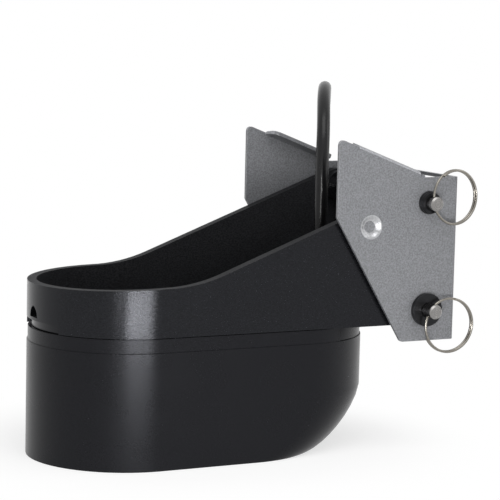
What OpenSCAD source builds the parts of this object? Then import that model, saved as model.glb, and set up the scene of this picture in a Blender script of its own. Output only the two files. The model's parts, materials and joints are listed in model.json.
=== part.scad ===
// Transom-mount sonar transducer with a folded kick-up bracket, quick-release pins and a cable.
// Origin: middle of the bracket's transom face. X points at the transom, Y across, Z up.

/* [Bracket] */
// Outside width of the folded bracket
bracket_w = 112; // [104:1:124]
// Thickness of the bracket sheet
sheet = 2; // [1.5:0.25:2.25]
// Height of the back plate
back_h = 91; // [86:1:100]
// Length of a side plate, transom face to front edge
plate_l = 76.5; // [72:0.5:84]
// Rise of the side plate's front corner above the back plate
front_rise = 23.2; // [22:0.1:25]
// Height of the side plate's front edge
front_h = 44.6; // [40:0.1:50]
// Length of the side plate's bottom edge
foot_l = 34.5; // [30:0.5:40]
// Length of the level top edge beside the back plate
crown_l = 22; // [19:0.5:25]
// Corner rounding of the side plates
corner_r = 2.5; // [2:0.5:6]
// Outside radius of the sheet's bends
bend_r = 2.5; // [2.5:0.25:4]
// Slope of the top flanges
flange_slope = 21; // [19:0.5:22]
// Width of a top flange, from the plate's outer face
flange_w = 12; // [9:0.5:16]
// Plain edge ahead of a top flange, along the slope
flange_start = 14; // [12:0.5:15]
// Length of a top flange, along the slope
flange_l = 42; // [36:0.5:43]
// Rise of a top flange towards its free edge, in degrees
flange_rise = 7; // [0:0.5:9]
// Rounding of a top flange's free corners
flange_round = 4; // [2:0.5:6]
// Drop of the plates' plain sloping edge below the flange's top
edge_drop = 1.1; // [0.5:0.1:2]
// Width of the relief cuts at a flange's ends
relief_w = 0.8; // [0.6:0.1:2]
// Rim diameter of the pressed dimple
dimple_d = 13.4; // [10:0.2:15]
// Flat floor diameter of the dimple
dimple_flat_d = 6.6; // [4:0.2:8]
// Depth of the dimple
dimple_depth = 2.2; // [2:0.1:2.6]
// Dimple centre ahead of the hinge axis
dimple_ahead = 36; // [33:0.5:38]
// Dimple centre below the hinge axis
dimple_drop = 12.6; // [10:0.2:15]

/* [Transom slots] */
// Width of a mounting slot
slot_w = 7; // [5:0.5:8]
// Length of a mounting slot, end to end
slot_l = 20; // [14:1:26]
// Spacing of the slots across
slot_across = 54; // [40:1:64]
// Slot centres in from the back plate's top and bottom edges
slot_edge = 5.5; // [5.5:0.5:14]

/* [Pins] */
// Diameter of both pins
pin_d = 8; // [6:0.5:9]
// Hinge axis ahead of the transom face
hinge_setback = 19.2; // [18.2:0.1:20.6]
// Hinge axis below the back plate's top edge
hinge_drop = 14; // [13:0.2:15]
// Lock pin below the hinge pin
pin_gap = 59.5; // [55:0.5:61]
// How far the hinge pin stands out of the near plate
hinge_out = 9.8; // [9:0.2:14]
// How far the lock pin stands out of the near plate
lock_out = 12; // [9:0.2:16]
// Chamfer on the pin's end
pin_chamfer = 0.9; // [0.4:0.1:1.4]
// Diameter of the pin heads on the far side
head_d = 12; // [10:0.5:14]
// Thickness of the pin heads
head_t = 2.5; // [1.5:0.25:4]
// Flange diameter of the hinge bushings
hinge_flange_d = 12.8; // [11:0.2:14]
// Flange thickness of the hinge bushings
hinge_flange_t = 4; // [3:0.25:4.5]
// Flange diameter of the lock bushings
lock_flange_d = 18.4; // [16:0.2:20]
// Flange thickness of the lock bushings
lock_flange_t = 3; // [2:0.25:4]
// Wall of a bushing's sleeve
sleeve_wall = 1; // [0.8:0.1:1.4]
// Clearance round a pin
pin_fit = 0.06; // [0.03:0.01:0.1]
// Clearance of the lock pin in the arms' notches
lock_play = 0.35; // [0.3:0.05:0.6]

/* [Cotter rings] */
// Outside diameter of a cotter ring
ring_od = 31.2; // [26:0.2:33]
// Wire of a cotter ring
ring_wire = 1.4; // [1:0.1:1.8]
// Length of the wire, in degrees round the ring
ring_wrap = 590; // [480:10:640]
// Clearance of the wire in its cross hole
ring_play = 0.35; // [0.3:0.05:0.5]
// Turn of the hinge pin in its bushing
hinge_ring_turn = -12; // [-30:1:30]
// Swing of the hinge ring towards the plate
hinge_ring_swing = 8; // [0:1:10]
// Turn of the lock pin in its bushing
lock_ring_turn = 36; // [0:1:60]

/* [Body] */
// Gap between an arm and its side plate
side_gap = 1.7; // [1.4:0.1:2]
// Length of the body, end to end
body_l = 193.5; // [190:0.5:200]
// Leading tip of the body, ahead of the hinge axis
nose_gap = 16.7; // [16:0.1:20]
// Rim of the upper shell below the hinge axis
rim_drop = 42; // [38:0.5:42]
// Fall of the rim towards the trailing end, in degrees
rim_fall = 1.7; // [0:0.1:2.5]
// Lower edge of the upper shell below the hinge axis
seam_drop = 68; // [66:0.5:72]
// Height of the lower housing under the shell's edge
housing_h = 71; // [60:0.5:80]
// Wall of the upper shell
shell_wall = 5; // [4:0.25:5.5]
// Thickness of the arms
arm_wall = 6; // [6:0.25:7]
// Slope of the arms' top edges
arm_slope = 21; // [19:0.5:23]
// Radius where the rim turns up into the arms
blend_r = 95; // [60:1:110]
// Gap between an arm and the flange at full kick-up
stop_gap = 2; // [1.6:0.1:2.4]
// Extra thickness of the hinge boss inside an arm
boss_t = 4; // [2:0.5:6]
// Length of the leading end's upsweep along the body
sweep_l = 31; // [20:0.5:40]
// Height of the leading end's upsweep
sweep_h = 34.5; // [24:0.5:44]
// Height of the recessed band under the seam
band_h = 7.5; // [5:0.25:10]
// Depth of the recessed band
band_in = 0.6; // [0.5:0.1:1.5]
// Opening between shell and housing at the seam
seam_gap = 0.4; // [0.3:0.05:0.6]

/* [Inside the body] */
// Wall of the lower housing
housing_wall = 8; // [6:0.25:9]
// Thickness of the sounding face
face_t = 6; // [4:0.5:8]
// Diameter of the low band ceramic
low_d = 50; // [40:1:56]
// Diameter of the high band ceramic
high_d = 32; // [26:1:38]
// Thickness of the ceramics
ceramic_t = 10; // [6:0.5:14]
// Thickness of the foam caps over the ceramics
foam_t = 4; // [3:0.5:6]
// Clearance between potted pieces
pot_gap = 0.1; // [0.05:0.05:0.2]

/* [Cable] */
// Diameter of the cable
cable_d = 7.5; // [6:0.5:9]
// Mean radius of the stored coil
coil_r = 67.5; // [60:0.5:75]
// Turns side by side in the coil
coil_columns = 6; // [5:1:6]
// Full layers in the coil
coil_layers = 3; // [2:1:3]
// Turns in the coil's top layer
coil_top = 4; // [3:1:4]
// Thickness of the ties round the coil
tie_t = 1.6; // [1:0.1:2]
// Width of the ties
tie_w = 12; // [8:1:16]
// Body diameter of the plug
plug_d = 24; // [22:0.5:26]
// Collar diameter of the plug
collar_d = 27; // [26:0.5:29]

/* [Hidden] */
$fn = 64;
over = 1;

// Places of the hinge and the lock
hinge_x = -hinge_setback;
hinge_z = back_h / 2 - hinge_drop;
lock_z = hinge_z - pin_gap;
half_w = bracket_w / 2;
half_in = half_w - sheet;
front_x = -plate_l;
front_z = back_h / 2 + front_rise;
bend_ease = 0.5;
inner_bend_r = bend_r - sheet + bend_ease;
slot_up = back_h - 2 * slot_edge;
press_in = 0.6;
press_out = 1.4;

// The flange's underside is the stop for the arms' top edges
flange_reach = (front_x - hinge_x) * sin(flange_slope) + (front_z - hinge_z) * cos(flange_slope);
arm_end_r = flange_reach - sheet - stop_gap;
dimple_r = norm([dimple_ahead, dimple_drop]);
dimple_turn = 180 + atan(dimple_drop / dimple_ahead);
kick_up = arm_slope + flange_slope;

// Where an arm's top edge leaves the level of the rim, seen from the hinge
arm_top = arm_end_r * [-sin(arm_slope), cos(arm_slope)];
knee_x = arm_top[0] - (arm_top[1] + rim_drop) / tan(arm_slope);
knee_in = blend_r * tan(arm_slope / 2);

// Places of the body
body_r = half_in - side_gap;
lead_tip = hinge_x - nose_gap;
lead_c = lead_tip - body_r;
trail_c = lead_tip - body_l + body_r;
rim_z = hinge_z - rim_drop;
seam_z = hinge_z - seam_drop;
bottom_z = seam_z - housing_h;
inner_r = body_r - shell_wall;
arm_in = body_r - arm_wall;

// Stack of floor, seal and housing inside the shell's skirt
floor_t = 3;
skirt_h = 3.5;
seal_t = 1.5;
floor_z = seam_z + skirt_h;
deck_z = floor_z - seal_t;
spigot_r = inner_r - 0.3;
band_z = seam_z - seam_gap - band_h;

// Arched window and wide slot at the shell's trailing end
window_w = 10;
window_sill = 6.2;
window_arch = 6.4;
window_in = 3;
skirt_slot_turn = 26;
skirt_slot_h = 4.6;
skirt_slot_in = 2.6;

// Pocket in each arm that clears the lock bushing
pocket_in = 1;
pocket_run = 13.2;
pocket_rise = 16.5;
pocket_ahead = 19.7;

// Bushings and pins
hinge_sleeve_d = pin_d + 2 * (pin_fit + sleeve_wall);
lock_sleeve_d = pin_d + 6;
bore_d = pin_d + 2 * pin_fit;
ring_r = (ring_od - ring_wire) / 2;
ring_sag = ring_r - sqrt(ring_r * ring_r - pin_d * pin_d / 4);
cross_d = ring_wire + ring_sag + 2 * ring_play;
hinge_cross_gap = 0.9;
lock_cross_gap = 1.6;
ring_lay = 0.12;
hinge_cross_y = -half_w - hinge_flange_t - cross_d / 2 - hinge_cross_gap;
lock_cross_y = -half_w - lock_flange_t - cross_d / 2 - lock_cross_gap;
ring_pitch = ring_wire + ring_lay;

// Screws that hold the shell on the housing
screw_d = 4;
screw_head_d = 8;
screw_head_t = 3;
drive_l = 4.8;
drive_w = 1.2;
screw_l = 14;
screw_in = body_r - 10.5;
screw_side = (trail_c + lead_c) / 2;
screw_at = [for (s = [-1, 1]) each [
    [trail_c - screw_in * cos(50), s * screw_in * sin(50)],
    [screw_side, s * screw_in],
    [lead_c + screw_in * cos(55), s * screw_in * sin(55)]]];
boss_r = 6.5;

// Potted pieces
cavity_z = bottom_z + face_t;
cavity_r = body_r - housing_wall;
cavity_lead = lead_tip - sweep_l - housing_wall - cavity_r;
pot_top = deck_z - 4;
low_x = (trail_c + lead_c) / 2 + 4;
high_x = trail_c - 10;
board_z = cavity_z + ceramic_t + foam_t + 8;
board_l = 64;
board_w = 40;
board_t = 1.6;
coil_core_r = 11;
coil_core_t = 8;
probe_x = low_x + low_d / 2 + foam_t + 9;
probe_z = bottom_z + face_t / 2;
probe_d = 6;
probe_l = 14;

// Cable route from the gland to the coil and on to the plug, chosen by hand
coil_c = [-58, 178];
tie_gap = 0.2;
coil_z = bottom_z + tie_t + tie_gap;
coil_w = coil_columns * cable_d;
top_turn_z = coil_z + (coil_layers + 0.5) * cable_d;
plug_z = bottom_z + collar_d / 2;
cable_lead_points = [[-56, 0, -8], [-56, 0, 10], [-56, 0, 30], [-56, 0, 45], [-53, 5, 68], [-45, 20, 84],
    [-34, 39, 90], [-23, 59, 84], [-15, 74, 68], [-12, 79, 45], [-12, 79, 15], [-12, 79, -15],
    [-12, 81, -40], [-11, 90, -62], [-7, 108, top_turn_z + 4], [1, 133, top_turn_z], [9, 158, top_turn_z]];
cable_tail_points = [[-144, 178, coil_z + 4], [-144, 166, coil_z + 4], [-144, 152, plug_z - 5],
    [-144, 138, plug_z - 1], [-144, 124, plug_z]];
lead_side = [0.875, -0.485, 0];
tail_side = [1, 0, 0];
tie_turns = [60, 130, 250];

// Strain relief
gland_x = cable_lead_points[0][0];
gland_top = cable_lead_points[0][2];
gland_d = 17;
gland_nut_t = 6;
gland_stem_d = 12;
gland_stem_l = 12;
gland_ribs = 5;

// Plug at the cable's end
plug_tail = cable_tail_points[len(cable_tail_points) - 1];
plug_l = 40;
plug_step = 2;
dome_l = 11;
groove_count = 9;
groove_pitch = 1.7;
groove_in = 0.7;
collar_l = 17;
collar_wall = 2.6;
collar_lip = 2.4;
collar_rim = 3.4;
collar_gap = 0.15;
collar_fit = 0.08;
collar_lugs = 8;
lug_h = 1;
insert_d = 17.6;
insert_wall = 1.5;
key_d = 3.6;
insert_l = 21;
insert_floor = 8;
contact_d = 1.6;
contact_l = 9;
contact_ring_r = 4.6;
contact_shift = 1.2;

// A flat outline of two half circles joined by straight sides
module stadium(r, x0, x1) {
    translate([x0, 0]) circle(r);
    translate([x1, 0]) circle(r);
    translate([x0, -r]) square([x1 - x0, 2 * r]);
}

// The same, extruded between two heights
module stadium_block(r, x0, x1, z0, z1) {
    translate([0, 0, z0]) linear_extrude(z1 - z0) stadium(r, x0, x1);
}

// Holes for the shell's screws
module screw_holes(d, z, h) {
    for (p = screw_at) translate([p[0], p[1], z]) cylinder(d = d, h = h);
}

// Round bar along Y between two places
module bar(d, y0, y1) {
    translate([0, y0, 0]) rotate([-90, 0, 0]) cylinder(d = d, h = y1 - y0);
}

// Points of an arc
function arc(c, r, a0, a1, n) = [for (i = [0:n]) let (a = a0 + (a1 - a0) * i / n) c + r * [cos(a), sin(a)]];

// One corner of an outline, rounded
function unit(v) = v / norm(v);
function corner(a, b, c, r, n) = let (
        u = unit(a - b),
        v = unit(c - b),
        half = acos(u * v) / 2,
        m = b + unit(u + v) * r / sin(half),
        p = b + u * r / tan(half) - m,
        q = b + v * r / tan(half) - m,
        a0 = atan2(p[1], p[0]),
        turn = atan2(p[0] * q[1] - p[1] * q[0], p * q)
    ) arc(m, r, a0, a0 + turn, n);
function rounded(p, r, n = 8) = [for (i = [0:len(p) - 1]) each
    (r[i] == 0 ? [p[i]] : corner(p[(i + len(p) - 1) % len(p)], p[i], p[(i + 1) % len(p)], r[i], n))];

// A smooth curve through hand-chosen points
function between(p, i, t) = let (
        a = p[max(i - 1, 0)],
        b = p[i],
        c = p[i + 1],
        d = p[min(i + 2, len(p) - 1)]
    ) 0.5 * (2 * b + (c - a) * t + (2 * a - 5 * b + 4 * c - d) * t * t + (3 * b - a - 3 * c + d) * t * t * t);
function smooth(p, n) = concat(
    [for (i = [0:len(p) - 2]) for (k = [0:n - 1]) between(p, i, k / n)], [p[len(p) - 1]]);

// Round wire or cable along a line of points
function heading(p, i) = unit(p[min(i + 1, len(p) - 1)] - p[max(i - 1, 0)]);
function hoop(c, t, side, r, n) = let (
        u = unit(side - (side * t) * t),
        v = cross(t, u)
    ) [for (k = [0:n - 1]) c + r * (cos(360 * k / n) * u + sin(360 * k / n) * v)];
module sweep(p, r, n, side) {
    m = len(p);
    points = [for (i = [0:m - 1]) each hoop(p[i], heading(p, i), side, r, n)];
    walls = [for (i = [0:m - 2]) for (k = [0:n - 1])
        [i * n + k, (i + 1) * n + k, (i + 1) * n + (k + 1) % n, i * n + (k + 1) % n]];
    first = [for (k = [0:n - 1]) k];
    last = [for (k = [n - 1:-1:0]) (m - 1) * n + k];
    polyhedron(points, concat(walls, [first, last]));
}

// Bracket

// Section of the folded channel: two sides and the back
module channel_block(w, r, back) {
    translate([front_x - over, -w / 2]) square([plate_l + over - back - r, w]);
    translate([-back - r - over, -w / 2 + r]) square([r + over, w - 2 * r]);
    for (s = [-1, 1]) translate([-back - r, s * (w / 2 - r)]) circle(r);
}

module channel_section() {
    difference() {
        channel_block(bracket_w, bend_r, 0);
        channel_block(2 * half_in, inner_bend_r, sheet);
    }
}

// Outline of a side plate, seen along Y
module plate_outline() {
    edge_z = front_z - edge_drop / cos(flange_slope);
    step_z = edge_z - (plate_l - crown_l) * tan(flange_slope);
    polygon(rounded([
        [front_x, edge_z],
        [-crown_l, step_z],
        [-crown_l, back_h / 2],
        [over, back_h / 2],
        [over, -back_h / 2],
        [-foot_l, -back_h / 2],
        [front_x, front_z - front_h]
    ], [corner_r, 0, 0, 0, 0, corner_r, corner_r]));
}

// Moves to the front corner, with X down the slope of the flange and Z square to it
module along_slope() {
    translate([front_x, 0, front_z]) rotate([0, flange_slope, 0]) children();
}

// Section of the near flange across the slope, with a tongue that laps into the plate
function flange_section() = let (
        c = [-half_w + bend_r, -bend_r],
        along = flange_w * [cos(flange_rise), sin(flange_rise)],
        up = [-sin(flange_rise), cos(flange_rise)]
    ) concat(
        [[-half_w, -bend_r - over]],
        arc(c, bend_r, 180, 90 + flange_rise, 8),
        [c + along + bend_r * up, c + along + (bend_r - sheet) * up],
        arc(c, bend_r - sheet, 90 + flange_rise, 180, 5),
        [[-half_in, -bend_r - over]]
    );

// Outline of the near flange, seen square to the slope
function flange_plan() = let (
        end = flange_start + flange_l,
        free = -half_w + flange_w
    ) rounded([[flange_start, -half_w - over], [end, -half_w - over], [end, free], [flange_start, free]],
        [0, 0, flange_round, flange_round]);

module flange() {
    along_slope() intersection() {
        translate([flange_start - over, 0, 0]) rotate([90, 0, 90])
            linear_extrude(flange_l + 2 * over) polygon(flange_section());
        translate([0, 0, -3 * bend_r]) linear_extrude(6 * bend_r) polygon(flange_plan());
    }
}

// Room for a flange's bend, with a narrow relief at each end
module flange_cut() {
    along_slope() translate([flange_start - relief_w, -half_w - over, -bend_r])
        cube([flange_l + 2 * relief_w, sheet + 2 * over, 3 * bend_r]);
}

// Dimple pressed into the near plate from outside
module dimple(d0, d1, y) {
    translate([hinge_x - dimple_ahead, y, hinge_z - dimple_drop])
        rotate([-90, 0, 0]) cylinder(d1 = d0, d2 = d1, h = dimple_depth);
}

module transom_slot() {
    for (s = [-1, 1]) translate([-sheet - over, s * (slot_l - slot_w) / 2, 0])
        rotate([0, 90, 0]) cylinder(d = slot_w, h = sheet + 2 * over);
    translate([-sheet - over, -(slot_l - slot_w) / 2, -slot_w / 2])
        cube([sheet + 2 * over, slot_l - slot_w, slot_w]);
}

module both_sides() {
    children();
    mirror([0, 1, 0]) children();
}

module bracket() {
    color("silver") difference() {
        union() {
            difference() {
                intersection() {
                    translate([0, 0, -back_h / 2 - over])
                        linear_extrude(back_h + front_rise + 2 * over) channel_section();
                    rotate([90, 0, 0])
                        linear_extrude(bracket_w + 2 * over, center = true) plate_outline();
                }
                both_sides() flange_cut();
            }
            both_sides() flange();
            both_sides() dimple(dimple_d - press_in, dimple_flat_d + press_out, -half_in);
        }
        both_sides() dimple(dimple_d, dimple_flat_d, -half_w);
        translate([hinge_x, 0, hinge_z])
            bar(hinge_sleeve_d + 2 * pin_fit, -half_w - over, half_w + over);
        translate([hinge_x, 0, lock_z])
            bar(lock_sleeve_d + 2 * pin_fit, -half_w - over, half_w + over);
        for (y = [-1, 1]) for (z = [-1, 1])
            translate([0, y * slot_across / 2, z * slot_up / 2]) transom_slot();
    }
}

// Pins, bushings and rings

// A pin with a head on the far side and a cross hole for its ring
module release_pin(z, out, flange_t, cross_y, turn) {
    near = -half_w - out;
    head_y = half_w + flange_t;
    color("gainsboro") translate([hinge_x, 0, z]) difference() {
        union() {
            bar(pin_d, near + pin_chamfer, head_y + head_t / 2);
            translate([0, near, 0]) rotate([-90, 0, 0])
                cylinder(d1 = pin_d - 2 * pin_chamfer, d2 = pin_d, h = pin_chamfer);
            bar(head_d, head_y, head_y + head_t);
        }
        translate([0, cross_y, 0]) rotate([0, turn, 0]) cylinder(d = cross_d, h = 2 * pin_d, center = true);
    }
}

module hinge_pin() {
    release_pin(hinge_z, hinge_out, hinge_flange_t, hinge_cross_y, hinge_ring_turn);
}

module lock_pin() {
    release_pin(lock_z, lock_out, lock_flange_t, lock_cross_y, lock_ring_turn);
}

// A flanged bushing in the near plate, with a stepped flange where steps are asked for
module bushing(z, sleeve_d, flange_d, flange_t, steps) {
    step_in = (flange_d - sleeve_d) / 2 / (steps + 1);
    color("#202022") translate([hinge_x, 0, z]) difference() {
        union() {
            bar(sleeve_d, -half_w - flange_t, -half_in);
            for (i = [0:steps - 1])
                bar(flange_d - 2 * step_in * i, -half_w - flange_t * (i + 1) / steps, -half_w);
        }
        bar(bore_d, -half_w - flange_t - over, -half_in + over);
    }
}

module hinge_bushing_near() {
    bushing(hinge_z, hinge_sleeve_d, hinge_flange_d, hinge_flange_t, 3);
}

module hinge_bushing_far() {
    mirror([0, 1, 0]) hinge_bushing_near();
}

module lock_bushing_near() {
    bushing(lock_z, lock_sleeve_d, lock_flange_d, lock_flange_t, 1);
}

module lock_bushing_far() {
    mirror([0, 1, 0]) lock_bushing_near();
}

// Sprung wire ring, single in the pin and doubled on its outer side
module cotter_ring(z, cross_y, turn, swing) {
    steps = 54;
    line = [for (i = [0:steps]) let (a = ring_wrap * (i / steps - 0.5))
        [ring_r * (1 - cos(a)) - ring_sag / 2, ring_pitch * a / 360, ring_r * sin(a)]];
    color("lightgray") translate([hinge_x, cross_y, z]) rotate([0, turn, 0]) rotate([0, 0, swing])
        sweep(line, ring_wire / 2, 8, [0, 1, 0]);
}

module hinge_ring() {
    cotter_ring(hinge_z, hinge_cross_y, hinge_ring_turn, hinge_ring_swing);
}

module lock_ring() {
    cotter_ring(lock_z, lock_cross_y, lock_ring_turn, 0);
}

// Upper shell

// Side of the shell and its arm, seen along Y, with the hinge at zero
module arm_outline() {
    start_x = knee_x - knee_in - over;
    heel_r = 6;
    polygon(concat(
        [[start_x, -seam_drop], [start_x, -rim_drop - over * tan(rim_fall)]],
        arc([knee_x - knee_in, blend_r - rim_drop], blend_r, 270, 270 + arm_slope, 8),
        arc([0, 0], arm_end_r, 90 + arm_slope, 0, 14),
        arc([arm_end_r - heel_r, heel_r - seam_drop], heel_r, 0, -90, 6)
    ));
}

// The seat that meets the lock pin, open along the swing towards the transom
module lock_notch() {
    half = pin_d / 2 + lock_play;
    difference() {
        intersection() {
            bar(2 * (pin_gap + half), arm_in - boss_t - 2 * over, half_in);
            translate([0, 0, -2 * pin_gap]) cube([4 * arm_end_r, bracket_w, 2 * pin_gap]);
        }
        bar(2 * (pin_gap - half), 0, bracket_w);
    }
    translate([0, 0, -pin_gap]) bar(2 * half, arm_in - boss_t - 2 * over, half_in);
}

// Outline of a round-ended slot along an arc
function arc_slot(r, half, a0, a1) = concat(
    arc([0, 0], r + half, a0, a1, 12),
    arc(r * [cos(a1), sin(a1)], half, a1 + 20, a1 + 160, 7),
    arc([0, 0], r - half, a1, a0, 12),
    arc(r * [cos(a0), sin(a0)], half, a0 - 160, a0 - 20, 7)
);

// Track in an arm's outer face for the dimple, as long as the swing
module dimple_track() {
    half = dimple_d / 2 + 0.3;
    depth = dimple_depth - side_gap + 0.4;
    translate([0, body_r + over, 0]) rotate([90, 0, 0]) linear_extrude(depth + over)
        polygon(arc_slot(dimple_r, half, dimple_turn, dimple_turn + kick_up));
}

// Far arm, with the hinge at zero
module arm() {
    difference() {
        union() {
            translate([0, body_r, 0]) rotate([90, 0, 0]) linear_extrude(arm_wall) arm_outline();
            bar(2 * (arm_end_r - over), arm_in - boss_t, arm_in + over);
        }
        bar(bore_d, arm_in - boss_t - over, body_r + over);
        lock_notch();
        dimple_track();
        translate([0, body_r + over, 0]) rotate([90, 0, 0]) linear_extrude(pocket_in + over)
            polygon([[-pocket_ahead, -seam_drop - over],
                [-pocket_ahead + pocket_run, pocket_rise - seam_drop],
                [arm_end_r + over, pocket_rise - seam_drop], [arm_end_r + over, -seam_drop - over]]);
    }
}

// Arched window and wide slot at the trailing end
module trailing_cuts() {
    side = window_arch - window_w / 2;
    intersection() {
        translate([trail_c - body_r - over, side, seam_z + window_sill])
            rotate([0, 90, 0]) cylinder(r = window_arch, h = window_in + over);
        translate([trail_c - body_r - over, -side, seam_z + window_sill])
            rotate([0, 90, 0]) cylinder(r = window_arch, h = window_in + over);
        translate([trail_c - body_r - over, -window_w, seam_z + window_sill])
            cube([window_in + over, 2 * window_w, 2 * window_arch]);
    }
    translate([trail_c, 0, seam_z - over]) rotate([0, 0, 180 - skirt_slot_turn])
        rotate_extrude(angle = 2 * skirt_slot_turn)
        translate([body_r - skirt_slot_in, 0]) square([skirt_slot_in + over, skirt_slot_h + over]);
}

// What is cut away above the falling rim of the trailing end
module above_rim() {
    translate([hinge_x + knee_x - knee_in, 0, rim_z]) rotate([0, -rim_fall, 0])
        translate([-body_l, -body_r - over, 0]) cube([body_l, 2 * (body_r + over), shell_wall]);
}

module upper_shell() {
    color("#2b2b2e") difference() {
        union() {
            difference() {
                stadium_block(body_r, trail_c, lead_c, seam_z, rim_z);
                stadium_block(inner_r, trail_c, lead_c, floor_z + floor_t, rim_z + over);
                above_rim();
            }
            both_sides() translate([hinge_x, 0, hinge_z]) arm();
        }
        stadium_block(inner_r, trail_c, lead_c, seam_z - over, floor_z);
        trailing_cuts();
        screw_holes(screw_d + 0.6, floor_z - over, floor_t + 2 * over);
        translate([gland_x, 0, floor_z - over]) cylinder(d = gland_stem_d + 0.4, h = floor_t + 2 * over);
    }
}

// Lower housing and what it holds

// Outline of the potted cavity, with bosses left standing for the screws
module cavity_outline(gap) {
    difference() {
        stadium(cavity_r - gap, trail_c, cavity_lead);
        for (p = screw_at) translate(p) circle(boss_r + gap);
    }
}

module cavity_block(gap, z0, z1) {
    translate([0, 0, z0]) linear_extrude(z1 - z0) cavity_outline(gap);
}

// How far the leading end is drawn back at a height above the sounding face
function drawn_back(h) = sweep_l * (1 - pow(1 - pow(1 - min(h / sweep_h, 1), 1.45), 1 / 1.45));

module housing_block() {
    steps = 9;
    slice = 0.02;
    hull() {
        translate([trail_c, 0, bottom_z]) cylinder(r = body_r, h = band_z - bottom_z, $fn = 80);
        translate([lead_c, 0, bottom_z + sweep_h])
            cylinder(r = body_r, h = band_z - bottom_z - sweep_h, $fn = 80);
        for (i = [0:steps]) let (h = sweep_h * (1 - cos(90 * i / steps)))
            translate([lead_c - drawn_back(h), 0, bottom_z + h]) cylinder(r = body_r, h = slice, $fn = 80);
    }
}

module lower_housing() {
    color("#232325") difference() {
        union() {
            housing_block();
            stadium_block(body_r - band_in, trail_c, lead_c, band_z - over, seam_z - seam_gap);
            stadium_block(spigot_r, trail_c, lead_c, band_z - over, deck_z);
        }
        cavity_block(0, cavity_z, deck_z + over);
        screw_holes(screw_d + 0.2, deck_z - screw_l, screw_l + over);
        translate([gland_x, 0, deck_z - gland_stem_l - 2])
            cylinder(d = gland_stem_d + 0.4, h = gland_stem_l + 2 + over);
        translate([probe_x, 0, probe_z - pot_gap]) cylinder(d = probe_d + 2 * pot_gap, h = probe_l);
    }
}

module housing_seal() {
    color("#111112") difference() {
        stadium_block(spigot_r, trail_c, lead_c, deck_z, floor_z);
        cavity_block(0, deck_z - over, floor_z + over);
        screw_holes(screw_d + 0.6, deck_z - over, seal_t + 2 * over);
        translate([gland_x, 0, deck_z - over]) cylinder(d = gland_stem_d + 0.4, h = seal_t + 2 * over);
    }
}

module shell_screws() {
    color("silver") for (p = screw_at) translate([p[0], p[1], floor_z + floor_t]) {
        translate([0, 0, -screw_l]) cylinder(d = screw_d, h = screw_l + over);
        difference() {
            cylinder(d = screw_head_d, h = screw_head_t);
            for (a = [0, 90]) rotate([0, 0, a])
                translate([-drive_l / 2, -drive_w / 2, screw_head_t / 2])
                    cube([drive_l, drive_w, screw_head_t]);
        }
    }
}

module low_ceramic() {
    color("ivory") translate([low_x, 0, cavity_z]) cylinder(d = low_d, h = ceramic_t);
}

module high_ceramic() {
    color("ivory") translate([high_x, 0, cavity_z]) cylinder(d = high_d, h = ceramic_t);
}

// Foam cap that covers a ceramic's back and edge
module foam_cap(x, d) {
    color("tan") translate([x, 0, cavity_z]) difference() {
        cylinder(d = d + 2 * foam_t, h = ceramic_t + foam_t);
        translate([0, 0, -over]) cylinder(d = d + 2 * pot_gap, h = ceramic_t + over + pot_gap);
    }
}

module low_foam() {
    foam_cap(low_x, low_d);
}

module high_foam() {
    foam_cap(high_x, high_d);
}

module tuning_board() {
    color("darkgreen") translate([low_x - board_l / 2, -board_w / 2, board_z])
        cube([board_l, board_w, board_t]);
}

module tuning_coil() {
    color("#b87333") translate([low_x, 0, board_z + board_t + coil_core_t / 2 + pot_gap])
        rotate_extrude() translate([coil_core_r, 0]) circle(coil_core_t / 2);
}

module thermistor() {
    color("silver") translate([probe_x, 0, probe_z]) cylinder(d = probe_d, h = probe_l);
}

module potting() {
    color("#3a3328") difference() {
        cavity_block(pot_gap, cavity_z, pot_top);
        for (p = [[low_x, low_d], [high_x, high_d]]) translate([p[0], 0, cavity_z - over])
            cylinder(d = p[1] + 2 * (foam_t + pot_gap), h = ceramic_t + foam_t + over + pot_gap);
        translate([low_x - board_l / 2 - pot_gap, -board_w / 2 - pot_gap, board_z])
            cube([board_l + 2 * pot_gap, board_w + 2 * pot_gap, pot_top - board_z + over]);
        translate([probe_x, 0, cavity_z - over]) cylinder(d = probe_d + 2 * pot_gap, h = probe_l);
    }
}

// Cable, coil and plug

module cable_gland() {
    nut_z = floor_z + floor_t;
    boot_h = gland_top - nut_z - gland_nut_t;
    rib = boot_h / gland_ribs;
    color("#1b1b1d") translate([gland_x, 0, 0]) {
        translate([0, 0, deck_z - gland_stem_l])
            cylinder(d = gland_stem_d, h = nut_z + gland_nut_t - deck_z + gland_stem_l);
        translate([0, 0, nut_z]) cylinder(d = gland_d, h = gland_nut_t, $fn = 6);
        translate([0, 0, nut_z + gland_nut_t - over])
            cylinder(d1 = gland_stem_d - 0.6, d2 = cable_d + 0.6, h = boot_h + over);
        for (i = [0:gland_ribs - 1]) translate([0, 0, nut_z + gland_nut_t + rib * i])
            cylinder(d = gland_stem_d + 0.4 - (gland_stem_d - cable_d - 1.4) * i / gland_ribs, h = rib * 0.6);
    }
}

module cable_lead() {
    color("#151516") sweep(smooth(cable_lead_points, 2), cable_d / 2, 10, lead_side);
}

module cable_tail() {
    color("#151516") sweep(smooth(cable_tail_points, 2), cable_d / 2, 10, tail_side);
}

// Section of the coiled turns, from the coil's axis
module coil_section() {
    translate([coil_r - coil_w / 2, 0]) square([coil_w, coil_layers * cable_d]);
    translate([coil_r - coil_w / 2, 0]) square([coil_top * cable_d, (coil_layers + 1) * cable_d]);
}

module cable_coil() {
    color("#151516") translate([coil_c[0], coil_c[1], coil_z]) rotate_extrude($fn = 96) coil_section();
}

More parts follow.
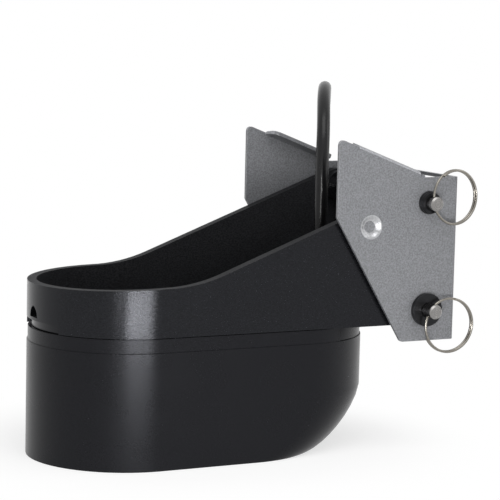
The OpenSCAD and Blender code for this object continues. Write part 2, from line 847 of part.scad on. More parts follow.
// Flat straps round the turns, with room for the coil's curve across a strap's width
module coil_ties() {
    gap = tie_gap;
    coil_in = coil_r - coil_w / 2;
    strap_in = sqrt(coil_in * coil_in - tie_w * tie_w / 4) - gap;
    strap_out = coil_in + coil_w + gap - strap_in;
    high = (coil_layers + 1) * cable_d + 2 * gap;
    low = coil_layers * cable_d + 2 * gap;
    step = coil_in + coil_top * cable_d + gap - strap_in;
    color("#2a2a2c") for (a = tie_turns) translate([coil_c[0], coil_c[1], coil_z - gap]) rotate([0, 0, a])
        translate([strap_in, tie_w / 2, 0]) rotate([90, 0, 0]) linear_extrude(tie_w) difference() {
            polygon([[-tie_t, -tie_t], [strap_out + tie_t, -tie_t], [strap_out + tie_t, low + tie_t],
                [step + tie_t, low + tie_t], [step + tie_t, high + tie_t], [-tie_t, high + tie_t]]);
            polygon([[0, 0], [strap_out, 0], [strap_out, low], [step, low], [step, high], [0, high]]);
        }
}

// Moves to the plug's rear, with Z along the plug towards its contacts
module at_plug() {
    translate(plug_tail) rotate([90, 0, 0]) children();
}

module plug_body() {
    grooves_z = dome_l + 0.6;
    color("#202022") at_plug() difference() {
        rotate_extrude() polygon(concat(
            [[0, 0], [cable_d / 2 + 2, 0]],
            arc([plug_d / 2 - 6, 6], 6, -90, 0, 6),
            [[plug_d / 2, plug_l - plug_step], [plug_d / 2 - 1, plug_l - plug_step]],
            [[plug_d / 2 - 1, plug_l], [0, plug_l]]
        ));
        for (i = [0:groove_count - 1]) translate([0, 0, grooves_z + groove_pitch * i]) difference() {
            cylinder(d = plug_d + over, h = groove_pitch / 2);
            translate([0, 0, -over]) cylinder(d = plug_d - 2 * groove_in, h = groove_pitch / 2 + 2 * over);
        }
        translate([0, 0, plug_l - insert_floor]) cylinder(d = insert_d + 0.1, h = insert_floor + over);
    }
}

// Coupling collar, held behind the insert's flange by a lip at its rear
module plug_collar() {
    lug_turn = 360 / collar_lugs;
    lug = 0.72 * lug_turn;
    color("#1d1d1f") at_plug() translate([0, 0, plug_l + collar_gap]) difference() {
        union() {
            cylinder(d = collar_d - 2 * lug_h, h = collar_l);
            translate([0, 0, collar_l - collar_rim]) cylinder(d = collar_d, h = collar_rim);
            for (i = [0:collar_lugs - 1]) rotate([0, 0, lug_turn * i]) intersection() {
                cylinder(d = collar_d, h = collar_l - collar_rim + over);
                linear_extrude(collar_l)
                    polygon([[0, 0], [collar_d, 0], collar_d * [cos(lug), sin(lug)]]);
            }
        }
        translate([0, 0, -over]) cylinder(d = insert_d + 2 * collar_fit, h = collar_l + 2 * over);
        translate([0, 0, collar_lip]) cylinder(d = collar_d - 2 * collar_wall, h = collar_l);
    }
}

// Keyed insert that carries the contacts and keeps the collar on
module plug_insert() {
    flange_z = insert_floor + 2 * collar_gap + collar_lip;
    key_x = -insert_d / 2 + 0.3;
    color("#1d1d1f") at_plug() translate([0, 0, plug_l - insert_floor]) difference() {
        union() {
            cylinder(d = insert_d, h = insert_l + insert_floor);
            translate([0, 0, flange_z]) cylinder(d = collar_d - 2 * (collar_wall + 0.4), h = 2);
        }
        translate([0, 0, insert_floor]) difference() {
            cylinder(d = insert_d - 2 * insert_wall, h = insert_l + over);
            translate([key_x, 0, -over]) cylinder(d = key_d + 2, h = insert_l + 3 * over);
        }
        translate([key_x, 0, flange_z + 3]) cylinder(d = key_d, h = insert_l);
        for (p = contact_at()) translate([p[0], p[1], insert_floor - contact_l / 2])
            cylinder(d = contact_d + 2 * pot_gap, h = contact_l);
    }
}

// One contact in the middle and six round it, all drawn away from the key
function contact_at() = [for (i = [0:6]) [contact_shift, 0]
    + (i == 0 ? [0, 0] : contact_ring_r * [cos(60 * i + 30), sin(60 * i + 30)])];

module plug_contacts() {
    color("gold") at_plug() for (p = contact_at())
        translate([p[0], p[1], plug_l - contact_l / 2]) {
            cylinder(d = contact_d, h = contact_l + 6);
            translate([0, 0, contact_l + 6]) sphere(d = contact_d);
        }
}

upper_shell();
lower_housing();
housing_seal();
shell_screws();
potting();
low_ceramic();
high_ceramic();
low_foam();
high_foam();
tuning_board();
tuning_coil();
thermistor();
cable_gland();
cable_lead();
cable_coil();
cable_tail();
coil_ties();
plug_body();
plug_collar();
plug_insert();
plug_contacts();
bracket();
hinge_pin();
lock_pin();
hinge_bushing_near();
hinge_bushing_far();
lock_bushing_near();
lock_bushing_far();
hinge_ring();
lock_ring();
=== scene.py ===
"""Looks for a transom sonar transducer: moulded body, folded steel bracket, pins, rings, cable and plug."""

import json
import math

import bmesh
import bpy
from mathutils import Matrix, Vector


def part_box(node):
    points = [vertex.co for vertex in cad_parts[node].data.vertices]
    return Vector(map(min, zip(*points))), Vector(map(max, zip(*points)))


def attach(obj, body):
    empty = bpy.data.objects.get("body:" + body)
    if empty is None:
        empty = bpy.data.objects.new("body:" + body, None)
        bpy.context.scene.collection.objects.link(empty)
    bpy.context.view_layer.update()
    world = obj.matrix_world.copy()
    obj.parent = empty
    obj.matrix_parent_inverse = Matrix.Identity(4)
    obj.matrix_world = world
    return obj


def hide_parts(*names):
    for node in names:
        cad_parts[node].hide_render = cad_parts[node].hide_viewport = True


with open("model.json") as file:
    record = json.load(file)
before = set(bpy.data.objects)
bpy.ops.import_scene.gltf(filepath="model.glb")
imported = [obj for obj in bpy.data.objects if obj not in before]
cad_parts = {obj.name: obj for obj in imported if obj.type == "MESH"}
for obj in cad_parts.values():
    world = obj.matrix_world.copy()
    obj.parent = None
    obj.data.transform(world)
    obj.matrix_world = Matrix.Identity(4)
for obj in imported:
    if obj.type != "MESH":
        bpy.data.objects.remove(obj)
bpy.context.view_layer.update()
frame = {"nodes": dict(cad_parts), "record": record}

bl_info = {
    "name": "Sonar transducer looks",
    "version": (1, 0, 0),
    "blender": (4, 5, 0),
    "location": "3D View > Sidebar > Transducer",
    "description": "Dresses the transducer's solids with rounded edges, finishes, a full cable and a stage",
    "category": "Object",
}

MM = 0.001
NODES = frame["nodes"]


def slot_colour(slot):
    """The record's base colour of a material slot."""
    for material in frame["record"]["materials"]:
        if material["slot"] == slot:
            return tuple(material["base_color"][:3])
    raise RuntimeError(f"the record has no material slot {slot}")


def colour_property(name, default, description):
    return bpy.props.FloatVectorProperty(
        name=name, description=description, subtype="COLOR", size=3, min=0, max=1, default=default
    )


def length_property(name, default, description):
    return bpy.props.FloatProperty(
        name=name, description=description, subtype="DISTANCE", unit="LENGTH", min=0, default=default
    )


class TransducerSizes(bpy.types.PropertyGroup):
    """Sizes of the roundings and of the wire and cable."""

    rim_round: length_property("Rim rounding", 1.0 * MM, "Rounding of the rim and the arms' top edges")
    mould_round: length_property("Moulded edges", 0.5 * MM, "Rounding of the other moulded edges")
    sheet_round: length_property("Sheet edges", 0.35 * MM, "Rounding that tumbling leaves on the edges")
    turned_round: length_property("Turned edges", 0.25 * MM, "Rounding of pins, bushings and screws")
    ring_outside: length_property("Ring diameter", 31.2 * MM, "Outside diameter of a cotter ring")
    ring_wire: length_property("Ring wire", 1.4 * MM, "Wire diameter of a cotter ring")
    cable_diameter: length_property("Cable diameter", 7.5 * MM, "Outside diameter of the cable")


class TransducerColours(bpy.types.PropertyGroup):
    """Colours of the finishes."""

    shell: colour_property("Shell", (0.005, 0.0052, 0.0062), "Moulded upper shell and arms")
    housing: colour_property("Housing", (0.005, 0.005, 0.006), "Moulded lower housing")
    # Painted fill light: the trough lighter than the shell, for the shade inside it; its finish is matte too
    trough: colour_property("Trough", (0.0178, 0.0182, 0.0198), "Matte inside of the shell")
    steel: colour_property("Bracket", (0.215, 0.219, 0.231), "Tumbled sheet")
    # Painted highlight: lighter than the sheet, for the light that the bracket's rounded edges and dimple
    # slopes catch
    edge: colour_property("Bracket edges", (0.44, 0.444, 0.456), "Cut and pressed edges of the sheet")
    pin: colour_property("Pins", (0.26, 0.252, 0.245), "Turned pins and screws")
    wire: colour_property("Rings", (0.24, 0.225, 0.2), "Spring wire")
    bushing: colour_property("Bushings", (0.004, 0.004, 0.004), "Bearing plastic")
    cable: colour_property("Cable", (0.006, 0.006, 0.0065), "Cable jacket")
    plug: colour_property("Plug", (0.012, 0.012, 0.013), "Plug mouldings")


def sizes():
    return bpy.context.scene.transducer_sizes


def colours():
    return bpy.context.scene.transducer_colours


# Materials


class Finish:
    """A node material with one shader and procedural patterns on Object coordinates."""

    def __init__(self, name, metallic=0.0, specular=0.5, specular_tint=(1.0, 1.0, 1.0)):
        self.material = bpy.data.materials.new(name)
        self.material.use_nodes = True
        self.nodes = self.material.node_tree.nodes
        self.links = self.material.node_tree.links
        self.shader = self.nodes["Principled BSDF"]
        self.shader.inputs["Metallic"].default_value = metallic
        self.shader.inputs["Specular IOR Level"].default_value = specular
        self.shader.inputs["Specular Tint"].default_value = (*specular_tint, 1.0)
        self.place = self.nodes.new("ShaderNodeTexCoord").outputs["Object"]

    def stretched(self, scale):
        """Object coordinates scaled along each axis."""
        mapping = self.nodes.new("ShaderNodeMapping")
        mapping.inputs["Scale"].default_value = scale
        self.links.new(self.place, mapping.inputs["Vector"])
        return mapping.outputs["Vector"]

    def round_axis(self, axis, across, along):
        """Coordinates that vary only with the distance from an axis along Y and the place along it."""
        split, join = self.nodes.new("ShaderNodeSeparateXYZ"), self.nodes.new("ShaderNodeCombineXYZ")
        away = self.nodes.new("ShaderNodeVectorMath")
        away.operation = "DISTANCE"
        flat, scale = self.nodes.new("ShaderNodeCombineXYZ"), self.nodes.new("ShaderNodeVectorMath")
        scale.operation = "MULTIPLY"
        scale.inputs[1].default_value = (across, along, 0)
        self.links.new(self.place, split.inputs[0])
        self.links.new(split.outputs["X"], flat.inputs["X"])
        self.links.new(split.outputs["Z"], flat.inputs["Z"])
        self.links.new(flat.outputs[0], away.inputs[0])
        away.inputs[1].default_value = (axis[0], 0, axis[1])
        self.links.new(away.outputs["Value"], join.inputs["X"])
        self.links.new(split.outputs["Y"], join.inputs["Y"])
        self.links.new(join.outputs[0], scale.inputs[0])
        return scale.outputs[0]

    def noise(self, scale, detail=2.0, place=None):
        """A noise value at each place."""
        texture = self.nodes.new("ShaderNodeTexNoise")
        texture.inputs["Scale"].default_value = scale
        texture.inputs["Detail"].default_value = detail
        self.links.new(place or self.place, texture.inputs["Vector"])
        return texture.outputs["Fac"]

    def ranged(self, value, low, high, start=0.3, end=0.7):
        """A value moved from the range of start and end to that of low and high."""
        ranger = self.nodes.new("ShaderNodeMapRange")
        ranger.inputs["From Min"].default_value = start
        ranger.inputs["From Max"].default_value = end
        ranger.inputs["To Min"].default_value = low
        ranger.inputs["To Max"].default_value = high
        self.links.new(value, ranger.inputs["Value"])
        return ranger.outputs["Result"]

    def colour(self, value, low, high, start=0.3, end=0.7):
        """Blends the base colour by a value."""
        ramp = self.nodes.new("ShaderNodeValToRGB")
        first, last = ramp.color_ramp.elements
        first.position, last.position = start, end
        first.color, last.color = (*low, 1), (*high, 1)
        self.links.new(value, ramp.inputs["Fac"])
        self.links.new(ramp.outputs["Color"], self.shader.inputs["Base Color"])

    def roughness(self, value, low, high, start=0.3, end=0.7):
        """Varies the roughness by a value."""
        self.links.new(self.ranged(value, low, high, start, end), self.shader.inputs["Roughness"])

    def bump(self, height, distance, strength=1.0):
        """Raises the surface by a height value."""
        node = self.nodes.new("ShaderNodeBump")
        node.inputs["Distance"].default_value = distance
        node.inputs["Strength"].default_value = strength
        self.links.new(height, node.inputs["Height"])
        self.links.new(node.outputs["Normal"], self.shader.inputs["Normal"])


def tint(colour, factor):
    return tuple(min(1.0, channel * factor) for channel in colour)


def moulded_plastic(name, colour, rough, grain=1800.0, depth=0.05 * MM, specular=0.3):
    """Satin moulded plastic with a fine spark grain, drawn out along its sides, and faint handling marks."""
    finish = Finish(name, specular=specular, specular_tint=(0.9, 0.92, 1.0))
    cloud = finish.noise(45.0, 3.0)
    spark = finish.noise(grain, 3.0, finish.stretched((0.55, 0.55, 1.0)))
    finish.colour(spark, tint(colour, 0.55), tint(colour, 1.5), 0.36, 0.64)
    finish.roughness(cloud, rough - 0.02, rough + 0.03)
    finish.bump(spark, depth, 0.5)
    return finish.material


def tumbled_steel(name, colour):
    """Stainless sheet tumbled to a fine mottled satin."""
    finish = Finish(name, metallic=0.25, specular=0.3)
    mottle = finish.noise(1200.0, 4.0)
    finish.colour(mottle, tint(colour, 0.74), tint(colour, 1.24), 0.34, 0.66)
    finish.roughness(finish.noise(700.0, 3.0), 0.36, 0.46)
    finish.bump(finish.noise(2200.0, 2.0), 0.01 * MM, 0.4)
    return finish.material


def painted_edge_highlight(name, colour):
    """Steel painted lighter than the sheet's faces: a painted highlight for the light that the rounded edges
    and the dimples' slopes catch.
    """
    finish = Finish(name, metallic=1.0)
    finish.colour(finish.noise(600.0, 3.0), tint(colour, 0.85), tint(colour, 1.15))
    finish.roughness(finish.noise(900.0, 2.0), 0.26, 0.36)
    finish.bump(finish.noise(2200.0, 2.0), 0.005 * MM, 0.3)
    return finish.material


def turned_steel(name, colour, along, rough=0.24):
    """Turned or drawn steel with fine rings or lines, by the stretch along each axis."""
    finish = Finish(name, metallic=1.0)
    lines = finish.noise(1.0, 3.0, finish.stretched(along))
    finish.colour(lines, tint(colour, 0.85), tint(colour, 1.12))
    finish.roughness(lines, rough - 0.05, rough + 0.08)
    finish.bump(lines, 0.02 * MM, 0.35)
    return finish.material


def drawn_wire(name, colour):
    """Spring wire with the faint long lines of its drawing and a slight warm stain."""
    finish = Finish(name, metallic=1.0)
    finish.colour(finish.noise(90.0, 2.0), tint(colour, 0.9), tint(colour, 1.12))
    finish.roughness(finish.noise(900.0, 2.0), 0.2, 0.28)
    finish.bump(finish.noise(2500.0, 2.0), 0.004 * MM, 0.3)
    return finish.material


def lathe_steel(name, colour, axis):
    """Steel turned on a lathe about an axis along Y: fine rings on its ends and along its length."""
    finish = Finish(name, metallic=1.0)
    rings = finish.noise(1.0, 2.0, finish.round_axis(axis, 5000.0, 3000.0))
    finish.colour(rings, tint(colour, 0.9), tint(colour, 1.1))
    finish.roughness(rings, 0.2, 0.3)
    finish.bump(rings, 0.006 * MM, 0.4)
    finish.shader.inputs["Anisotropic"].default_value = 0.9
    tangent = finish.nodes.new("ShaderNodeTangent")
    tangent.direction_type, tangent.axis = "RADIAL", "Y"
    finish.links.new(tangent.outputs["Tangent"], finish.shader.inputs["Tangent"])
    return finish.material


def jacket(name, colour, rough=0.45):
    """Extruded cable jacket or rubber with a soft satin skin."""
    finish = Finish(name, specular=0.28)
    finish.colour(finish.noise(70.0, 2.0), tint(colour, 0.85), tint(colour, 1.2))
    finish.roughness(finish.noise(300.0, 3.0), rough - 0.03, rough + 0.03)
    finish.bump(finish.noise(900.0, 2.0), 0.002 * MM, 0.3)
    return finish.material


def webbing(name, colour):
    """Woven hook-and-loop strap."""
    finish = Finish(name, specular=0.2)
    weave = finish.noise(1400.0, 2.0)
    finish.colour(weave, tint(colour, 0.6), tint(colour, 1.5))
    finish.roughness(weave, 0.75, 0.95)
    finish.bump(weave, 0.25 * MM, 0.8)
    return finish.material


def inner_material(name, colour, rough, scale, metallic):
    """A sealed inner piece's finish with a speckle at the given scale."""
    finish = Finish(name, metallic=metallic)
    speckle = finish.noise(scale, 4.0)
    finish.colour(speckle, tint(colour, 0.8), tint(colour, 1.2))
    finish.roughness(speckle, rough - 0.08, rough + 0.08)
    finish.bump(speckle, 0.04 * MM, 0.4)
    return finish.material


# Pieces


def give(piece, material):
    """Leaves a piece with one material."""
    piece.data.materials.clear()
    piece.data.materials.append(material)


def finish_nodes(material, *names):
    """Puts a finish on CAD nodes that stay as they are."""
    for name in names:
        give(NODES[name], material)


SMOOTH_ANGLE = math.radians(38)


def piece_from(bm, name, material):
    """Makes an object of a bmesh, smooth apart from its sharp edges."""
    mesh = bpy.data.meshes.new(name)
    bm.to_mesh(mesh)
    bm.free()
    mesh.shade_smooth()
    mesh.set_sharp_from_angle(angle=SMOOTH_ANGLE)
    mesh.materials.append(material)
    piece = bpy.data.objects.new(name, mesh)
    bpy.context.scene.collection.objects.link(piece)
    return piece


MERGE_DISTANCE = 0.002 * MM
MERGE_ANGLE = math.radians(0.6)


def solid_of(node):
    """A merged copy of a CAD node with its flat faces whole."""
    bm = bmesh.new()
    bm.from_mesh(NODES[node].data)
    bmesh.ops.remove_doubles(bm, verts=bm.verts, dist=MERGE_DISTANCE)
    bmesh.ops.dissolve_limit(
        bm, angle_limit=MERGE_ANGLE, use_dissolve_boundaries=False, verts=bm.verts, edges=bm.edges
    )
    bm.faces.layers.int.new("rounded")
    return bm


def sharp_edges(bm):
    """Edges between a node's own faces that meet at a corner."""
    rounded = bm.faces.layers.int["rounded"]
    return [
        e for e in bm.edges
        if e.is_manifold and e.calc_face_angle() > SMOOTH_ANGLE and not any(f[rounded] for f in e.link_faces)
    ]


def round_edges(bm, edges, width, segments=2):
    """Rounds edges and marks the new faces as roundings."""
    made = bmesh.ops.bevel(
        bm, geom=edges, offset=width, offset_type="OFFSET", segments=segments, profile=0.5,
        affect="EDGES", clamp_overlap=True, material=-1
    )
    for face in made["faces"]:
        face[bm.faces.layers.int["rounded"]] = 1


FLAT_ANGLE = math.radians(0.5)


def flat_areas(bm, rounded):
    """For each face, the area of the whole flat that it is part of."""
    areas = {}
    for first in bm.faces:
        if first in areas:
            continue
        flat, waiting = {first}, [first]
        while waiting:
            face = waiting.pop()
            for edge in face.edges:
                for other in edge.link_faces:
                    level = other.normal.angle(first.normal, 1.0) < FLAT_ANGLE
                    if other not in flat and level and other[rounded] == first[rounded]:
                        flat.add(other)
                        waiting.append(other)
        total = sum(face.calc_area() for face in flat)
        areas.update((face, total) for face in flat)
    return areas


def corner_normal(vert, face, rounded, areas):
    """The shading normal that a face has at a corner, led by the flats that aren't roundings."""
    own = [f for f in vert.link_faces if not f[rounded]]
    if face[rounded] and own:
        face = max(own, key=lambda f: f.normal.dot(face.normal))
    among = own if not face[rounded] else vert.link_faces
    limit = math.cos(SMOOTH_ANGLE)
    total = sum((f.normal * areas[f] for f in among if f.normal.dot(face.normal) > limit), Vector())
    return total.normalized() if total.length > 0 else face.normal


def share_out(bm, finish_of):
    """Gives each face the material of the number that finish_of says for it."""
    bm.normal_update()
    rounded = bm.faces.layers.int["rounded"]
    for face in bm.faces:
        face.material_index = finish_of(face, face[rounded])


def dressed(bm, node, material, body, slot, *others):
    """Makes the rounded copy stand in for its CAD node, flat faces shading flat up to the roundings."""
    bm.normal_update()
    rounded = bm.faces.layers.int["rounded"]
    areas = flat_areas(bm, rounded)
    normals = [corner_normal(corner.vert, face, rounded, areas) for face in bm.faces for corner in face.loops]
    piece = piece_from(bm, node + "_dressed", material)
    piece.data.normals_split_custom_set(normals)
    for other in others:
        piece.data.materials.append(other)
    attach(piece, body)
    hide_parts(node)
    return piece


def dress(node, material, width, body, slot, segments=2):
    """Replaces a CAD node by a copy with all its edges rounded."""
    bm = solid_of(node)
    round_edges(bm, sharp_edges(bm), width, segments)
    return dressed(bm, node, material, body, slot)


# Cable route, through the same points as the solids have, in lists in millimetres

COIL_CENTRE = (-58 * MM, 178 * MM)
COIL_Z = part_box("cable_coil")[0].z
COIL_COLUMNS = 6
COIL_TOP_COLUMNS = 4
COIL_LAYERS = 3
COIL_MEAN_RADIUS = 67.5 * MM
TURN_STEPS = 36
STEP_OVER = 0.2
LEAD_STEPS, TAIL_STEPS = 6, 4
LEAD_POINTS = [
    (-56, 0, -8), (-56, 0, 10), (-56, 0, 30), (-56, 0, 45), (-53, 5, 68),
    (-45, 20, 84), (-34, 39, 90), (-23, 59, 84), (-15, 74, 68), (-12, 79, 45),
    (-12, 79, 15), (-12, 79, -15), (-12, 81, -40), (-11, 90, -62),
]
# Where the lead comes down on the coil, with its height over the top turn
LANDING_POINTS = [(-7, 108, 4), (1, 133, 0), (9, 158, 0)]
TAIL_X = -144 * MM
TAIL_START_Y = 166 * MM
# Where the tail rises to the plug, with its height over the plug's axis
TAIL_POINTS = [(152, -5), (138, -1), (124, 0)]


def between(points, i, t):
    """A point on the smooth curve through given points."""
    a, b = points[max(i - 1, 0)], points[i]
    c, d = points[i + 1], points[min(i + 2, len(points) - 1)]
    return 0.5 * (
        2 * b + (c - a) * t + (2 * a - 5 * b + 4 * c - d) * t ** 2 + (3 * b - a - 3 * c + d) * t ** 3
    )


def smooth_line(points, steps):
    """The smooth curve through given points, with a number of steps from each to the next."""
    line = [between(points, i, k / steps) for i in range(len(points) - 1) for k in range(steps)]
    return line + [points[-1]]


def ease(t):
    """A share from 0 to 1 that starts and ends gently."""
    t = min(max(t, 0.0), 1.0)
    return t * t * (3 - 2 * t)


def coil_turns(diameter):
    """Radius and height of each turn, from the top layer's outer turn to the floor's outer turn."""
    inner = COIL_MEAN_RADIUS - COIL_COLUMNS * diameter / 2 + diameter / 2
    out_in = [inner + diameter * i for i in reversed(range(COIL_TOP_COLUMNS))]
    turns = [(radius, COIL_Z + (COIL_LAYERS + 0.5) * diameter) for radius in out_in]
    for layer in reversed(range(COIL_LAYERS)):
        columns = range(COIL_COLUMNS)
        if (COIL_LAYERS - layer) % 2 == 0:
            columns = reversed(columns)
        turns += [(inner + diameter * i, COIL_Z + (layer + 0.5) * diameter) for i in columns]
    return turns


def coil_line(start, diameter):
    """Points round the coil, counter-clockwise from the lead's end to the side nearest the plug."""
    turns = coil_turns(diameter)
    centre = Vector((*COIL_CENTRE, 0))
    first = math.atan2(start.y - centre.y, start.x - centre.x)
    total = math.pi - first + math.tau * (len(turns) - 1)
    line = []
    for step in range(1, int(total / math.tau * TURN_STEPS) + 1):
        turned = step / TURN_STEPS
        k = min(int(turned), len(turns) - 1)
        following = turns[min(k + 1, len(turns) - 1)]
        share = ease((turned - k - (1 - STEP_OVER)) / STEP_OVER)
        radius = turns[k][0] + (following[0] - turns[k][0]) * share
        height = turns[k][1] + (following[1] - turns[k][1]) * share
        angle = first + math.tau * turned
        line.append(centre + Vector((radius * math.cos(angle), radius * math.sin(angle), height)))
    return line


def cable_line(diameter):
    """The whole cable: up out of the gland, over to the coil, round it and on to the plug."""
    top_turn = COIL_Z + (COIL_LAYERS + 0.5) * diameter
    lead = [Vector(p) * MM for p in LEAD_POINTS]
    lead += [Vector((x * MM, y * MM, top_turn + over * MM)) for x, y, over in LANDING_POINTS]
    coil = coil_line(lead[-1], diameter)
    collar_low, collar_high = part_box("plug_collar")
    plug_z = (collar_low.z + collar_high.z) / 2
    tail = [coil[-1], Vector((TAIL_X, TAIL_START_Y, coil[-1].z))]
    tail += [Vector((TAIL_X, y * MM, plug_z + over * MM)) for y, over in TAIL_POINTS]
    return smooth_line(lead, LEAD_STEPS) + coil + smooth_line(tail, TAIL_STEPS)[1:]


LINE_RESOLUTION = 5


def round_line(name, line, diameter):
    """Wire or cable of a round section along a line of points."""
    data = bpy.data.curves.new(name, "CURVE")
    data.dimensions = "3D"
    data.bevel_depth = diameter / 2
    data.bevel_resolution = LINE_RESOLUTION
    data.use_fill_caps = True
    spline = data.splines.new("POLY")
    spline.points.add(len(line) - 1)
    for point, place in zip(spline.points, line):
        point.co = (*place, 1)
    spline.use_smooth = True
    piece = bpy.data.objects.new(name, data)
    bpy.context.scene.collection.objects.link(piece)
    return piece


# Stage, with the camera as solved from the bracket's square corners

CAMERA_PLACE = (-634.61 * MM, -1045.83 * MM, 146.1 * MM)
CAMERA_YAW = math.radians(27.052)
CAMERA_PITCH = math.radians(7.032)
CAMERA_ROLL = math.radians(1.351)
FOCAL_PIXELS = 2116.73
PICTURE_PIXELS = 500
SENSOR_WIDTH = 36.0
CLIP_START = 0.05


def set_camera(scene):
    """The photograph's viewing angle and frame."""
    data = bpy.data.cameras.new("camera")
    data.sensor_fit = "HORIZONTAL"
    data.sensor_width = SENSOR_WIDTH
    data.lens = FOCAL_PIXELS / PICTURE_PIXELS * SENSOR_WIDTH
    data.clip_start = CLIP_START
    camera = bpy.data.objects.new("camera", data)
    turn = Matrix.Rotation(-CAMERA_YAW, 4, "Z") @ Matrix.Rotation(math.pi / 2 - CAMERA_PITCH, 4, "X")
    camera.matrix_world = Matrix.Translation(CAMERA_PLACE) @ turn @ Matrix.Rotation(CAMERA_ROLL, 4, "Z")
    scene.collection.objects.link(camera)
    scene.camera = camera


def seen_directly(nodes, links):
    """1 for camera, glossy and transmission rays, which see the white surroundings."""
    rays = nodes.new("ShaderNodeLightPath")
    total = rays.outputs["Is Camera Ray"]
    for name in ("Is Glossy Ray", "Is Transmission Ray"):
        either = nodes.new("ShaderNodeMath")
        either.operation = "MAXIMUM"
        links.new(total, either.inputs[0])
        links.new(rays.outputs[name], either.inputs[1])
        total = either.outputs[0]
    return total


FLOOR_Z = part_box("lower_housing")[0].z
FLOOR_REACH = 4.0
FLOOR_COLOUR = (0.8, 0.8, 0.8, 1)
FLOOR_SHADE = (0.5, 0.5, 0.5, 1)
FLOOR_GLOW = 0.66
FLOOR_MIDDLE = (-0.13, 0.0, FLOOR_Z)
FLOOR_FADE = (0.08, 0.17)


def faded(nodes, links, near):
    """A shader that goes over to plain white away from the object."""
    white, fade = nodes.new("ShaderNodeEmission"), nodes.new("ShaderNodeMixShader")
    away, ranger = nodes.new("ShaderNodeVectorMath"), nodes.new("ShaderNodeMapRange")
    away.operation = "DISTANCE"
    away.inputs[1].default_value = FLOOR_MIDDLE
    ranger.interpolation_type = "SMOOTHSTEP"
    ranger.inputs["From Min"].default_value, ranger.inputs["From Max"].default_value = FLOOR_FADE
    links.new(nodes.new("ShaderNodeTexCoord").outputs["Object"], away.inputs[0])
    links.new(away.outputs["Value"], ranger.inputs["Value"])
    links.new(ranger.outputs["Result"], fade.inputs["Fac"])
    links.new(near.outputs[0], fade.inputs[1])
    links.new(white.outputs[0], fade.inputs[2])
    return fade.outputs[0]


def set_floor():
    """A plain floor that lights the object, and that the camera sees as a pale ground with a soft shadow."""
    bm = bmesh.new()
    bmesh.ops.create_grid(bm, x_segments=1, y_segments=1, size=FLOOR_REACH)
    bmesh.ops.translate(bm, verts=bm.verts, vec=(0, 0, FLOOR_Z))
    material = bpy.data.materials.new("pale_floor")
    material.use_nodes = True
    nodes, links = material.node_tree.nodes, material.node_tree.links
    nodes.remove(nodes["Principled BSDF"])
    plain, shade = nodes.new("ShaderNodeBsdfDiffuse"), nodes.new("ShaderNodeBsdfDiffuse")
    plain.inputs["Color"].default_value = FLOOR_COLOUR
    shade.inputs["Color"].default_value = FLOOR_SHADE
    glow = nodes.new("ShaderNodeEmission")
    glow.inputs["Strength"].default_value = FLOOR_GLOW
    pale, mix = nodes.new("ShaderNodeAddShader"), nodes.new("ShaderNodeMixShader")
    links.new(shade.outputs[0], pale.inputs[0])
    links.new(glow.outputs[0], pale.inputs[1])
    links.new(seen_directly(nodes, links), mix.inputs["Fac"])
    links.new(plain.outputs[0], mix.inputs[1])
    links.new(faded(nodes, links, pale), mix.inputs[2])
    links.new(mix.outputs[0], nodes["Material Output"].inputs["Surface"])
    piece_from(bm, "floor", material)


# Name, place, width and height in metres, and power in watts
LAMPS = [
    ("key_lamp", (-0.216, -0.46, -0.084), 0.24, 0.022, 0.95),
    ("strip_lamp", (-0.61, -0.82, 0.0), 0.04, 0.16, 1.2),
    ("top_lamp", (-0.3, -0.6, 1.1), 1.0, 1.0, 6.5),
    ("right_lamp", (1.1, -0.5, 0.45), 0.5, 0.9, 2.0),
]
LAMP_TARGET = Vector((-0.1, 0.0, -0.02))


def set_lamps():
    """Soft lamps that face the object and stay out of the picture."""
    for name, place, width, height, power in LAMPS:
        data = bpy.data.lights.new(name, "AREA")
        data.shape = "RECTANGLE"
        data.size, data.size_y = width, height
        data.energy = power
        lamp = bpy.data.objects.new(name, data)
        lamp.visible_camera = False
        facing = (LAMP_TARGET - Vector(place)).to_track_quat("-Z", "Y")
        lamp.matrix_world = Matrix.Translation(place) @ facing.to_matrix().to_4x4()
        bpy.context.scene.collection.objects.link(lamp)


WORLD_LIGHT = 0.32


def set_world(scene):
    """A room that is white to look at and lights the object at a plain level."""
    world = bpy.data.worlds.new("white_room")
    world.use_nodes = True
    nodes, links = world.node_tree.nodes, world.node_tree.links
    room = nodes["Background"]
    room.inputs["Color"].default_value = (1, 1, 1, 1)
    ranger = nodes.new("ShaderNodeMapRange")
    ranger.inputs["To Min"].default_value = WORLD_LIGHT
    ranger.inputs["To Max"].default_value = 1.0
    links.new(seen_directly(nodes, links), ranger.inputs["Value"])
    links.new(ranger.outputs["Result"], room.inputs["Strength"])
    scene.world = world


class TRANSDUCER_OT_stage(bpy.types.Operator):
    """Sets up the camera, floor, lamps and world"""

    bl_idname = "transducer.stage"
    bl_label = "Stage"

    def execute(self, context):
        set_camera(context.scene)
        set_floor()
        set_lamps()
        set_world(context.scene)
        context.scene.view_settings.view_transform = "Standard"
        return {"FINISHED"}


# Cable and plug

TIE_ROUND = 0.4 * MM
PLUG_BODIES = {"plug_body": "transducer", "plug_insert": "transducer", "plug_collar": "collar"}


def dress_plug():
    """Rounds and finishes the plug, and returns its pieces."""
    plastic = moulded_plastic("plug_plastic", colours().plug, 0.42)
    pieces = [
        dress(node, plastic, sizes().turned_round, body, "plug_plastic") for node, body in PLUG_BODIES.items()
    ]
    gold = turned_steel("contact_gold", slot_colour("contact_gold"), (900, 900, 900), 0.2)
    finish_nodes(gold, "plug_contacts")
    return pieces + [NODES["plug_contacts"]]


